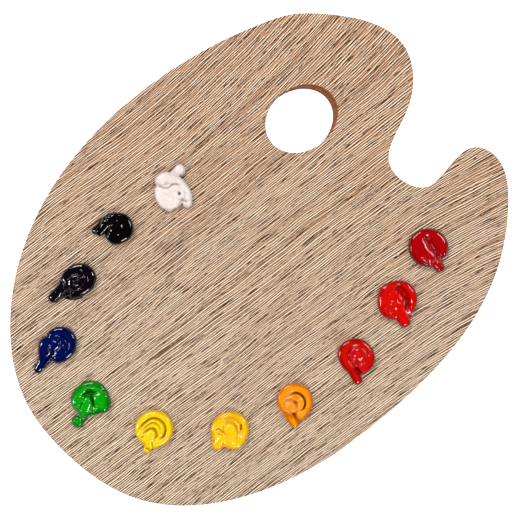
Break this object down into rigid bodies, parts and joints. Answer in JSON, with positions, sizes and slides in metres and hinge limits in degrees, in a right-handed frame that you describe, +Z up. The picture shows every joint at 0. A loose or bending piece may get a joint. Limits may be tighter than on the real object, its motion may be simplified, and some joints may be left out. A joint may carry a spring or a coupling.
{
  "type": "mixing palette",
  "caption": "Kidney-shaped wooden artist's mixing palette with a thumb hole, a finger notch and squeezed dabs of paint along its rim.",
  "frame": {"origin": "on the underside, at the centre of the outline's bounding box", "axes": "+X along the board towards the thumb hole and finger notch, +Y across it to the side the thumb hole is on, +Z up out of the paint side"},
  "size_m": [0.3002, 0.232, 0.0137],
  "materials": {
    "veneer": "smooth sanded, unvarnished straight-grained lauan or mahogany veneer",
    "crossband": "sawn and sanded edge",
    "core": "sawn and sanded edge",
    "white_paint": "wet glossy paint",
    "black_paint": "wet glossy paint",
    "violet_paint": "wet glossy paint",
    "ultramarine_paint": "wet glossy paint",
    "green_paint": "wet glossy paint",
    "lemon_paint": "wet glossy paint",
    "yellow_paint": "wet glossy paint",
    "orange_paint": "wet glossy paint",
    "vermilion_paint": "wet glossy paint",
    "scarlet_paint": "wet glossy paint",
    "crimson_paint": "wet glossy paint"
  },
  "bodies": {
    "root": {"back_veneer": "veneer", "lower_crossband": "crossband", "core_ply": "core", "upper_crossband": "crossband", "face_veneer": "veneer", "titanium_white_dab": "white_paint", "ivory_black_dab": "black_paint", "dark_violet_dab": "violet_paint", "ultramarine_dab": "ultramarine_paint", "emerald_green_dab": "green_paint", "lemon_yellow_dab": "lemon_paint", "golden_yellow_dab": "yellow_paint", "orange_dab": "orange_paint", "vermilion_dab": "vermilion_paint", "scarlet_dab": "scarlet_paint", "crimson_dab": "crimson_paint"}
  },
  "joints": []
}
